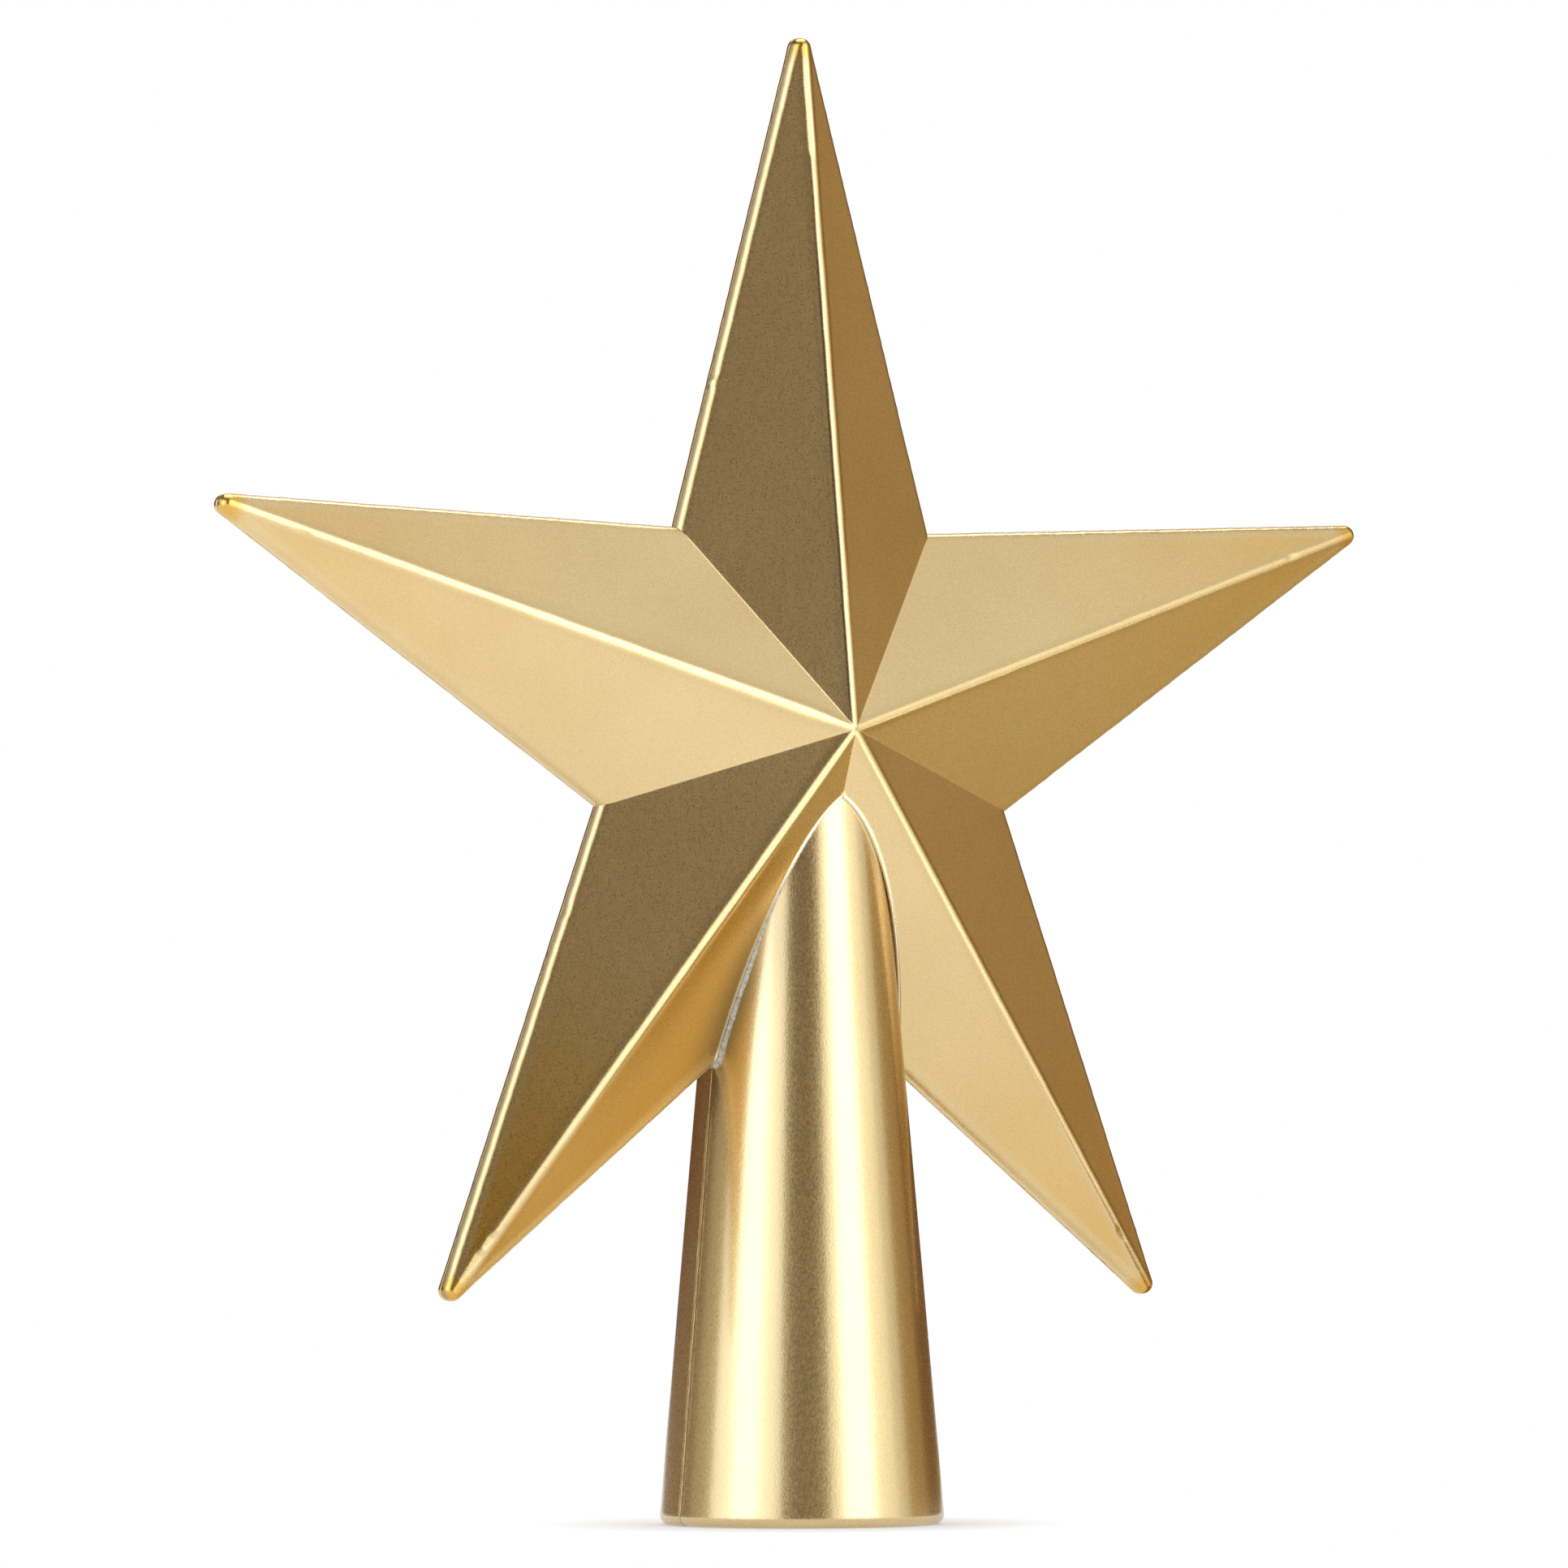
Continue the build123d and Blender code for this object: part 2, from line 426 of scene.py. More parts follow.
def edge_waver(point, side, along, seed):
    """How far an edge wanders in and out, fading towards notch and tip, with the knocks it has taken."""
    fade = rise(along - notch_along, 1, 4) * rise(tip_reach - along, 1, 4)
    waver = fade * 0.05 * ripple(along, seed + 40 + 2 * point + side, [19, 7.3, 3.1, 1.7])
    for knocked, flank, place, size in rim_knocks:
        if (knocked, flank) == (point, side):
            waver = waver + size * hill(along - place, knock_reach)
    return waver


def facet_sink(x, y, seed):
    """Slow hills and hollows of a few hundredths of a millimetre over the whole shell."""
    slow = ripple(x + 0.4 * y, seed + 60, [61, 37, 24]) + ripple(y - 0.3 * x, seed + 61, [53, 33, 21])
    return sink_depth * slow


print("top left edge wanders over", np.ptp(edge_waver(TOP, -1, sample, 1)).round(3), "mm")

# %% [markdown]
# ## A star shell
# Ten half points make one shell. Each has an outer skin, an inner skin and, along its rim, a short path
# over the edge band and the seam face that ties the two together. Beside the arch the cut face ties
# them instead. The skin also carries two tones for the painter: a painted tone, deeper gold for painted
# warm reflection and paler for painted highlight, and a share of painted shade, with a film mark on the
# hub.

# %% Place a half point and roll the lip of the arch
arch_halves = ((LOWER_LEFT, -1), (LOWER_RIGHT, 1))
far_from_arch = 50


def to_plan(point, side, across, along):
    """Plan position: along the point's direction, and to its right or left by the distance across."""
    turn = point_turns[point]
    x = along * np.cos(turn) + side * across * np.sin(turn)
    y = along * np.sin(turn) - side * across * np.cos(turn)
    return x, y


def lip_distance(across, along, height):
    """Distance from the cut along the facet: the offset from the cone, over its slope in the facet."""
    step = 0.01
    offset = arch_offset(across, along, height)
    fall_across, fall_along = fall * tip_cos, fall * tip_sin
    by_across = (arch_offset(across + step, along, height - step * fall_across) - offset) / step
    by_along = (arch_offset(across, along + step, height - step * fall_along) - offset) / step
    downhill = by_across * fall_across + by_along * fall_along
    slope = by_across**2 + by_along**2 - downhill**2 / (1 + fall**2)
    return np.maximum(offset / np.sqrt(np.maximum(slope, 1e-6)), 0)


def lip_shape(away):
    """Change of the skin beside the arch: a low rolled bead, then a quarter round into the cut."""
    inside = lip_round - np.minimum(away, lip_round)
    drop = lip_round - np.sqrt(np.maximum(lip_round**2 - inside**2, 0))
    return lip_height * hill(away - lip_place, lip_reach) - drop


print("lip stands proud by", lip_shape(lip_place).round(3), "mm")

# %% Say where reflection, highlight and shade are painted on the gold
tip_painted_reflection = [0.1, 0.25, 1.0, 0.5, 0.45]  # how far the painted warm reflection deepens the gold towards the tip of each point
ridge_painted_highlight = [0, 0, 0.45, 0.3, 0]  # how strong the painted highlight along each ridge is
rim_painted_shade = {(TOP, -1): 0.75, (LOWER_LEFT, 1): 0.85}  # how strong the painted shade on the edge band is on two half points


def painted_light_tones(half, across, along, gap, away):
    """Painted tone, from -1 for a painted highlight to 1 for a painted warm gold reflection, and painted
    shade.

    Painted shade lies on the facet left of the arch, along two rims and in a line by the top ridge; a small
    film mark sits on the hub.
    """
    # Painted warm reflection: the gold deepens towards the tips, most on the lower points.
    painted_tone = tip_painted_reflection[half[0]] * rise(along, 36, 40)
    film_and_shade = 0 * away
    # Painted warm reflection: the facet left of the arch is a deeper gold all over.
    if half == (LOWER_LEFT, -1):
        painted_tone = np.maximum(painted_tone, np.maximum(rise(along, 8, 20), 0.3))
        # Painted shade: a grey dulling over this facet, strongest near the arch.
        film_and_shade = (0.3 + 0.45 * hill(away, 3.2)) * rise(along, 16, 10)
    off_edges = np.maximum(rise(across, 0.6, 0.5), 0.2) * np.maximum(rise(gap, 1.0, 0.6), 0.1)
    painted_tone, film_and_shade = painted_tone * off_edges, film_and_shade * off_edges
    # Painted highlight: the ridges of the two lower points are paler.
    painted_tone = painted_tone - ridge_painted_highlight[half[0]] * hill(across, 0.5, 4)
    film_and_shade = film_and_shade + 0.9 * hill(np.hypot(across, along), 0.25)
    # Painted shade: the edge band is darkened on two half points.
    film_and_shade = film_and_shade + rim_painted_shade.get(half, 0) * (1 - rise(gap, 0, 0.3))
    if half == lined_half:
        shown = rise(along, 1, 3) * rise(line_end - along, 0, line_fade)
        # Painted shade line, then a painted highlight line, beside the top ridge.
        film_and_shade = film_and_shade + shown * hill(across - 0.56, 0.14, 4)
        painted_tone = painted_tone - shown * hill(across - 0.82, 0.09)
    # The last two millimetres of every point take the deeper gold of the painted warm reflection.
    painted_tone = np.maximum(painted_tone, np.minimum(rise(along, 85, 2), 0.9))
    # Painted highlight: the lip along the arch cut is paler.
    return np.maximum(painted_tone - 2 * hill(away, 0.38, 4), -1), film_and_shade


print("depth of the gold at the five tips:", tip_painted_reflection)

# %% Build one half point
rim_inset = np.array([0, 0, 0, 0.03, 0.09])  # steps down the edge band: how far in, and what share down
rim_share = np.array([0, 0.4, 0.72, 0.92, 1])


def half_point(point, side, seed):
    """Outer and inner grid of one half point: plan x, plan y, height, and the two tones of its paint."""
    half = (point, side)
    outer_width, inner_width = half_width(outer_rows), inner_half_width(inner_rows)
    if half in arch_halves:
        outer_width[arch_rows] = arch_across(outer_rows[arch_rows], plain_skin, half_width)
        inner_width[arch_rows] = arch_across(inner_rows[arch_rows], inner_height, inner_half_width)
    across = spread(outer_width)
    along = np.repeat(outer_rows[:, None], across.shape[1], axis=1)
    shift = side * ridge_shift(point, along, seed) * hill(across, 1.6)
    width = ridge_width(point, along, seed)
    crest = (shift, width, *ridge_chip(point, side, along), valley_width(half, along))
    height = skin_height(across, along, crest) + ridge_burr(half, across - shift, along)
    gap = edge_gap(across, along)[0]
    share = across / np.maximum(across[:, -1:], 1e-9)
    across = across + edge_waver(point, side, along, seed) * share * np.exp(-gap / 0.9)
    x, y = to_plan(point, side, across, along)
    away = np.full(across.shape, float(far_from_arch))
    if half in arch_halves:
        away = lip_distance(across, along, height)
    height = height + np.hypot(1, fall) * lip_shape(away)
    tones = painted_light_tones(half, across - shift, along, gap, away)
    inner_along = np.repeat(inner_rows[:, None], inner_columns, axis=1)
    inner_across = inner_width[:, None] * np.linspace(0, 1, inner_columns)
    inner_plan = to_plan(point, side, inner_across, inner_along)
    bare = 0 * inner_along
    inner = [*inner_plan, inner_height(inner_across, inner_along), bare, bare]
    return np.stack([x, y, height, *tones], axis=-1), np.stack(inner, axis=-1)


def rim_path(outer, inner, film_and_shade):
    """From the curled edge down the band, over a fine broken edge and along the seam face, inwards."""
    plan, level = outer[:, None, :2], outer[:, None, 2:3]
    drawn_in = plan * (1 - rim_inset / edge_distance)[None, :, None]
    lowered = level + (half_cement - level) * rim_share[None, :, None]
    ledge = inner[:, None].copy()
    ledge[..., 2] = half_cement
    band = np.concatenate([drawn_in, lowered, 0 * drawn_in], axis=-1)
    path = np.concatenate([band, ledge, inner[:, None]], axis=1)
    # The edge band carries its painted shade.
    path[..., 4] = film_and_shade
    return path


print("half point grids:", [grid.shape for grid in half_point(TOP, 1, 1)])

# %% Join ten half points into a shell
FRONT, BACK = 1, -1


def star_shell(name, seed, facing):
    """All half points with their rims and cut faces, set upright in front of or behind the seam plane."""
    grids, loops = [], []
    for point in range(5):
        for side in (-1, 1):
            half = (point, side)
            outer, inner = half_point(point, side, seed)
            start = foot_row if half in arch_halves else notch_row
            band = rim_path(outer[start:, -1], inner[start:, -1], rim_painted_shade.get(half, 0))
            grids += [outer, inner, band]
            if half in arch_halves:
                first = sum(grid[..., 0].size for grid in grids[:-1])
                loops.append(list(range(first, first + band.shape[1])))
                grids.append(np.stack([outer[arch_rows, -1], inner[arch_rows, -1]], axis=1))
    points, quads = join_grids(grids)
    x, y, h, painted_tone, film_and_shade = points.T
    h = h + facet_sink(x, y, seed) * rise(h, half_cement, 2)
    placed = np.stack([facing * x, -facing * h, star_height + y], axis=-1)
    return lay_mesh(name, placed, quads, loops, {"painted_highlight_and_reflection": painted_tone, "film_and_painted_shade": film_and_shade})


front_shell = star_shell("front_star_skin", 1, FRONT)
back_shell = star_shell("back_star_skin", 101, BACK)

# %% [markdown]
# ## The cement line round the star
# The rims are closed with a thin line of cement, from one foot of the arch round to the other. A
# rectangle carried along the outline makes it. Its outer edge stands out here and lies back there,
# because the squeezed-out cement was wiped off by hand.

# %% Carry the cement's section round the outline


def outline_path(seed):
    """Outline from the right foot of the arch, anticlockwise past all five tips, to the left foot."""
    parts = []
    for point in (LOWER_RIGHT, RIGHT, TOP, LEFT, LOWER_LEFT):
        for side in (1, -1):
            start = foot_row if (point, side) in arch_halves else notch_row
            edge = half_point(point, side, seed)[0][start:, -1]
            parts.append(edge[:-1] if side == 1 else edge[:0:-1])
    return np.concatenate(parts + [edge[:1]])


def cement_section(outer, inner):
    """Four corners at each place of two lines in the middle plane, half a cement line to each side."""
    corners = []
    for line, depth in ((outer, -1), (outer, 1), (inner, 1), (inner, -1)):
        corners.append(np.stack([line[:, 0], np.full(len(line), depth * half_cement), line[:, 1]], axis=-1))
    return np.stack(corners + corners[:1], axis=1)


def star_cement(name, seed):
    """The section between an uneven outer edge and an inner edge one wall in, carried round the outline."""
    plan = outline_path(seed)[:, :2]
    length = np.append(0, np.cumsum(np.hypot(*np.diff(plan, axis=0).T)))
    inset = 0.03 - 0.05 * ripple(length, seed + 80, [41, 13, 5.3, 2.2])
    outer = plan * (1 - inset / edge_distance)[:, None]
    upright = [0, star_height]
    return lay_carried(name, cement_section(outer + upright, plan * inner_scale + upright))


star_line = star_cement("star_cement_line", 1)

# %% [markdown]
# ## The socket
# The socket is a hollow cone in two halves. A profile turned through half a circle makes one half.
# Towards the seam the columns crowd together, because the seam was scraped after gluing and has left
# two thin, ragged lines. They end below the star.

# %% Draw the profile and the scraped seam
foot_count, side_count, end_count = 14, 260, 8
scrape_end = 54


def round_corner(radius_at, height_at, size, start, stop, count):
    """Arc of a rounded corner about a centre, between two directions in degrees."""
    turn = np.radians(np.linspace(start, stop, count))
    return radius_at + size * np.cos(turn), height_at + size * np.sin(turn)


def socket_profile():
    """Radius and height up the outside and up the bore, with the same number of rows in each."""
    lean = np.degrees(taper)
    corner = mouth_round / np.tan((np.pi / 2 - taper) / 2)
    bore_mouth = mouth_radius - socket_wall / np.cos(taper)
    foot_r, foot_z = round_corner(mouth_radius - corner, mouth_round, mouth_round, -90, lean, foot_count)
    side_z = np.linspace(foot_z[-1], socket_height - 1, side_count)[1:]
    end_z = socket_height - end_round
    end_centre = socket_radius(end_z) - end_round / np.cos(taper)
    end_r, top_z = round_corner(end_centre, end_z, end_round, lean, 90, end_count)
    radius = np.concatenate([[bore_mouth], foot_r, socket_radius(side_z), end_r, [half_cement]])
    height = np.concatenate([[0], foot_z, side_z, top_z, [socket_height]])
    bore_height = np.minimum(height, socket_height - end_wall)
    low = foot_count + 1
    bore_height[:low] = np.linspace(0, bore_height[low], low + 1)[:low]
    bore_radius = socket_radius(bore_height) - socket_wall / np.cos(taper)
    bore_radius[-1] = half_cement
    return radius, height, bore_radius, bore_height


def seam_scrape(from_seam, height, seed):
    """Radial change near the seam: a shallow scraped flat, and a thin raised line that varies."""
    place = 0.40 + 0.07 * ripple(height, seed, [23, 9.1, 3.7, 1.9])
    lift = 0.032 + 0.018 * ripple(height, seed + 1, [17, 6.3, 2.9])
    return lift * hill(from_seam - place, 0.12) - 0.028 * hill(from_seam, 0.30, 4)


print("socket profile has", len(socket_profile()[0]), "rows")

# %% Turn the profile through half a circle
seam_columns = np.array(
    [0, 0.05, 0.11, 0.17, 0.23, 0.29, 0.35, 0.41, 0.48, 0.56, 0.68, 0.85, 1.1, 1.5, 2.1]
)
seam_turn = seam_columns / 14  # as angles, for the radius that the socket has just below the star
round_turn = np.linspace(seam_turn[-1], np.pi - seam_turn[-1], 72)[1:-1]


def socket_painted_light(x, y, z):
    """Painted warm reflection down the right flank, most of it beside the star, and painted shade on the
    cone left of the arch.
    """
    # Painted warm reflection: the right flank of the cone turns a deep orange.
    flank = hill(x / socket_radius(z) - 0.78, 0.22, 4)
    painted_tone = flank * (0.35 + 0.65 * rise(z, 30, 20))
    # Painted shade on the cone where the lower left point overhangs it, just left of the arch.
    lean = np.pi / 2 - sector - tip_angle
    facet = crown + fall * (np.sin(lean) * np.abs(x) + np.cos(lean) * (z - star_height))
    beside = hill(-y - facet, 3.4) * rise(z, 46, 8) * rise(80 - z, 0, 12)
    return {"painted_highlight_and_reflection": painted_tone, "film_and_painted_shade": np.where(x < 0, 0.85 * beside, 0)}


def half_turn(r, z, rough, seed):
    """Radius and height turned from one seam to the other, with a share of the scrape at both."""
    turn = np.concatenate([seam_turn, round_turn, np.pi - seam_turn[::-1]])
    from_seam = np.minimum(turn, np.pi - turn) * r[:, None]
    right = seam_scrape(from_seam, z[:, None], seed)
    left = seam_scrape(from_seam, z[:, None], seed + 7)
    on_side = rise(z, 0.4, 1.5) * rise(scrape_end - z, 0, 4)
    r = r[:, None] + rough * np.where(turn < np.pi / 2, right, left) * on_side[:, None]
    x = np.sqrt(np.maximum(r**2 - half_cement**2, 0)) * np.cos(turn)
    y = -(half_cement + (r - half_cement) * np.sin(turn))
    return np.stack([x, y, np.broadcast_to(z[:, None], x.shape)], axis=-1)


def socket_half(name, seed, facing):
    """Half circles of the outside and the bore, tied together at the mouth, the end and the seam faces."""
    radius, height, bore_radius, bore_height = socket_profile()
    outer, bore = half_turn(radius, height, 1, seed), half_turn(bore_radius, bore_height, 0, seed)
    seam_faces = [np.stack([outer[:, column], bore[:, column]], axis=1) for column in (0, -1)]
    points, quads = join_grids([outer, bore, *seam_faces])
    return lay_mesh(name, points * [facing, facing, 1], quads, (), socket_painted_light(*points.T))


front_socket = socket_half("front_socket_skin", 301, FRONT)
back_socket = socket_half("back_socket_skin", 331, BACK)

# %% [markdown]
# ## The cement line down the socket
# Between the socket's halves lies the same cement, as a thin upright plate in the shape of the cut
# section. Its outer edge lies just below the scraped lines, so that the seam shows as a fine dark
# groove between them.

# %% Carry the plate's section up one side and down the other


def socket_cement(name, seed):
    """The section between the outside and the bore, carried up one side and down the other."""
    radius, height, bore_radius, bore_height = socket_profile()
    back_off = 0.05 - 0.04 * ripple(height, seed, [19, 7.7, 3.1, 1.5])
    back_off = back_off * rise(height, 0, 1.5) * rise(radius, 0, 5)
    outer = np.stack([radius - back_off, height], axis=-1)
    bore = np.stack([bore_radius, bore_height], axis=-1)
    mirrored = [np.concatenate([line * [-1, 1], line[::-1]]) for line in (outer, bore)]
    grid = cement_section(*mirrored)
    return lay_mesh(name, grid.reshape(-1, 3), grid_faces(*grid.shape[:2]))


socket_line = socket_cement("socket_cement_line", 361)

# %% [markdown]
# ## The glue in the arch
# The socket is held in the arch by a bead of pale glue. It fills the narrow gap under the lip, and low
# on one side it has been spread over the cone with a finger. A bead is a closed section carried along
# the arch: flat on the cone, hollow on top, with a spread that changes along the way.

# %% Carry the bead's section along the arch
bead_way = np.array([-0.8, 0, 1, 0.80, 0.55, 0.30, 0.10, -0.12, -0.8])  # out of the gap
bead_rise = np.array([-0.04, -0.04, -0.02, 0.10, 0.24, 0.48, 0.78, 1.0, 1.0])  # off the cone


def arch_line():
    """Line of the arch on the outer skin, from the left foot over the top to the right foot."""
    rows = outer_rows[arch_rows]
    across = arch_across(rows, plain_skin, half_width)
    x, y = to_plan(LOWER_RIGHT, 1, across, rows)
    right = np.stack([x, y, plain_skin(across, rows)], axis=-1)
    left = right[:0:-1] * [-1, 1, 1]
    return np.concatenate([left, right])


def resample(line, count):
    """Points at even steps along a line, and the length passed at each."""
    passed = np.append(0, np.cumsum(np.linalg.norm(np.diff(line, axis=0), axis=1)))
    even = np.linspace(0, passed[-1], count)
    return np.stack([np.interp(even, passed, part) for part in line.T], axis=-1), even


def unit(vectors):
    """Vectors over their own lengths."""
    return vectors / np.linalg.norm(vectors, axis=1)[:, None]


arch_path, passed = resample(arch_line(), 260)


def glue_bead(name, seed, facing, spread_out, sunk):
    """Section between the cone's outward direction and the way out of the gap, unevenly spread and full."""
    z = star_height + arch_path[:, 1]
    outward = unit(arch_path * [1, 0, 1])
    exit_way = unit(np.cross(np.gradient(arch_path, axis=0), outward))
    gap = arch_radius(z) - socket_radius(z)
    foot_on_cone = outward * socket_radius(z)[:, None] + arch_path * [0, 1, 0]
    reach = spread_out * (1 + 0.16 * ripple(passed, seed, [9, 4.1, 2.3, 1.1]))
    fill = 0.86 + 0.08 * ripple(passed, seed + 1, [13, 5.9, 2.7])
    along_exit = np.where(bead_way < 0, bead_way, bead_way * reach[:, None]) - sunk[:, None]
    above = np.where(bead_rise > 0, bead_rise * (gap * fill)[:, None], bead_rise)
    grid = foot_on_cone[:, None] + along_exit[..., None] * exit_way[:, None]
    grid = grid + above[..., None] * outward[:, None]
    grid = np.concatenate([grid, grid[:, :1]], axis=1)
    x, y, h = np.moveaxis(grid, -1, 0)
    return lay_carried(name, np.stack([facing * x, -facing * h, star_height + y], axis=-1))


def front_smear():
    """Spread in millimetres: a lobe at the left foot, a bead up the lower left, and next to none beyond."""
    smear = 0.62 / (1 + np.exp((passed - 17) / 1.4)) + 0.18 / (1 + np.exp((passed - 34) / 1.5))
    return 0.02 + smear + 0.3 * hill(passed - 1.4, 1.0)


def front_sunk():
    """Depth below the facets in millimetres: level on the left, and hidden under the lip on the right."""
    return 0.45 / (1 + np.exp(-(passed - 0.52 * passed[-1]) / 1.2))


def back_smear():
    """Spread in millimetres: a moderate bead on both sides that thins out over the top."""
    return 0.25 + 0.45 * np.abs(2 * passed / passed[-1] - 1) ** 1.5


front_glue = glue_bead("front_glue_bead", 401, FRONT, front_smear(), front_sunk())
back_glue = glue_bead("back_glue_bead", 431, BACK, back_smear(), 0 * passed)

# %% [markdown]
# ## Gold paint
# The plastic is sprayed with metallic paint: flakes in a clear binder. The flakes tilt at random, so a
# dark facet shows a fine grain. A mostly metallic surface, with a fine noise in its bump and its
# roughness, gives that grain in any light, and a thin clear coat gives the whiter gloss. The skins' tones
# paint light into the colour: deeper gold is painted warm reflection, a pale tone is painted highlight,
# and a dull dark tone is painted shade, besides a small film mark on the hub.

# %% Helpers that join shader nodes
flake_scale, patch_scale, peel_scale = 4300, 60, 500


def set_inputs(tree, node, inputs):
    """Joins each input to another node's output, or sets it to a value."""
    for name, value in inputs.items():
        if isinstance(value, bpy.types.NodeSocket):
            tree.links.new(value, node.inputs[name])
        else:
            node.inputs[name].default_value = value
    return node


def add_node(tree, kind, inputs, **settings):
    """New shader node of a kind, with its settings and its inputs."""
    node = tree.nodes.new("ShaderNode" + kind)
    for name, value in settings.items():
        setattr(node, name, value)
    return set_inputs(tree, node, inputs)


def new_paint(name):
    """Node material, its tree, and the place on the object, to hang patterns on."""
    paint = bpy.data.materials.new(name)
    paint.use_nodes = True
    place = add_node(paint.node_tree, "TexCoord", {})
    return paint, paint.node_tree, place.outputs["Object"]


def take_surface(tree, surface):
    """Puts another surface in the place of a material's usual shader."""
    tree.nodes.remove(tree.nodes["Principled BSDF"])
    set_inputs(tree, tree.nodes["Material Output"], {"Surface": surface})


def noise(tree, place, scale, detail):
    """Chance pattern, with its scale in features per metre."""
    inputs = {"Vector": place, "Scale": scale, "Detail": detail}
    return add_node(tree, "TexNoise", inputs).outputs["Fac"]


def spread_values(tree, source, low, high, out_low, out_high):
    """Maps a pattern's values between low and high to another range."""
    inputs = {"Value": source, "From Min": low, "From Max": high, "To Min": out_low, "To Max": out_high}
    return add_node(tree, "MapRange", inputs).outputs["Result"]


def two_tone(tree, source, dark, light):
    """Colour between two tones, chosen by a pattern."""
    ramp = add_node(tree, "ValToRGB", {"Fac": source})
    first, last = ramp.color_ramp.elements
    first.position, last.position = 0.3, 0.7
    first.color, last.color = (*dark, 1), (*light, 1)
    return ramp.outputs["Color"]


def relief(tree, source, strength, depth, under=None):
    """Bump of a given depth in metres, on top of another bump if one is given."""
    inputs = {"Height": source, "Strength": strength, "Distance": depth}
    if under is not None:
        inputs["Normal"] = under
    return add_node(tree, "Bump", inputs).outputs["Normal"]


def attribute(tree, name):
    """Value that the mesh carries at each of its points."""
    return add_node(tree, "Attribute", {}, attribute_name=name).outputs["Fac"]


def towards(tree, share, colour, other):
    """Colour that turns into another by a share."""
    inputs = {"Fac": share, "Color1": colour, "Color2": (*other, 1)}
    return add_node(tree, "MixRGB", inputs).outputs["Color"]


print(f"flakes are about {1000 / flake_scale:.2f} mm wide")

# %% Make the two gold paints
# Pale colour for painted highlight, and a dark colour for painted shade that also serves the film mark on
# the hub.
light_gold, painted_highlight_colour, film_and_shade_colour = (0.84, 0.63, 0.30), (0.95, 0.91, 0.76), (0.36, 0.27, 0.13)
flake_depth, peel_depth = 0.00012, 0.00004
sparkle = 0.06


def gold_paint(name, dark, reflection_colour, smooth, grain, gloss, stretch):
    """Metallic paint: two tones in patches, with painted reflection, highlight and shade from the skin's
    tones, and tilted flakes.
    """
    paint, tree, place = new_paint(name)
    stretched = {0: place, 1: (1, 1, stretch)}
    drawn = add_node(tree, "VectorMath", stretched, operation="MULTIPLY").outputs[0]
    flakes = noise(tree, drawn, flake_scale, 2)
    painted_tone, film_and_shade = attribute(tree, "painted_highlight_and_reflection"), attribute(tree, "film_and_painted_shade")
    tone = two_tone(tree, noise(tree, place, patch_scale, 3), dark, light_gold)
    # Painted warm reflection deepens the gold, painted highlight pales it and painted shade darkens it, by
    # the tones that the skin carries.
    tone = towards(tree, spread_values(tree, painted_tone, 0, 1, 0, 1), tone, reflection_colour)
    tone = towards(tree, spread_values(tree, painted_tone, -1, 0, 1, 0), tone, painted_highlight_colour)
    tone = towards(tree, film_and_shade, tone, film_and_shade_colour)
    glint = {0: tone, "Scale": spread_values(tree, flakes, 0.3, 0.7, 1 - sparkle, 1 + sparkle)}
    peel = relief(tree, noise(tree, place, peel_scale, 1), 0.25, peel_depth)
    surface = {
        "Base Color": add_node(tree, "VectorMath", glint, operation="SCALE").outputs["Vector"],
        "Roughness": spread_values(tree, flakes, 0.3, 0.7, smooth - 0.03, smooth + 0.03),
        "Normal": relief(tree, flakes, grain, flake_depth, peel),
        "Metallic": 0.95,
        "Coat Weight": spread_values(tree, painted_tone, 0, 1, 1.0, 0.3),
        "Coat IOR": gloss,
        "Coat Roughness": 0.14,
    }
    set_inputs(tree, tree.nodes["Principled BSDF"], surface)
    return paint


# Deep orange gold of the painted warm reflection on the star.
star_painted_reflection = (0.80, 0.47, 0.09)
star_paint = gold_paint("star_gold_paint", (0.79, 0.58, 0.26), star_painted_reflection, 0.29, 0.07, 1.6, 1.0)
# Dark orange of the painted warm reflection down the socket's flank.
socket_painted_reflection = (0.46, 0.25, 0.02)
socket_paint = gold_paint("socket_gold_paint", (0.79, 0.59, 0.27), socket_painted_reflection, 0.27, 0.10, 1.9, 0.55)
print("made", star_paint.name, "and", socket_paint.name)

# %% [markdown]
# ## Fillers and dressing
# Cement and glue are dull and cloudy. Each skin then takes its paint, its body and the solid it is for.

# %% Make the cement and the glue


def pale_filler(name, dark, light, roughness, scale):
    """Dull filler with cloudy tones and a lumpy surface."""
    paint, tree, place = new_paint(name)
    clouds = noise(tree, place, scale, 4)
    surface = {
        "Base Color": two_tone(tree, clouds, dark, light),
        "Roughness": spread_values(tree, clouds, 0.3, 0.7, roughness - 0.1, roughness + 0.1),
        "Normal": relief(tree, clouds, 0.5, 0.0001),
    }
    set_inputs(tree, tree.nodes["Principled BSDF"], surface)
    return paint


cement = pale_filler("wiped_cement", (0.30, 0.22, 0.12), (0.46, 0.36, 0.21), 0.55, 700)
glue = pale_filler("dried_glue", (0.46, 0.44, 0.37), (0.96, 0.94, 0.86), 0.35, 2600)
print("made", cement.name, "and", glue.name)

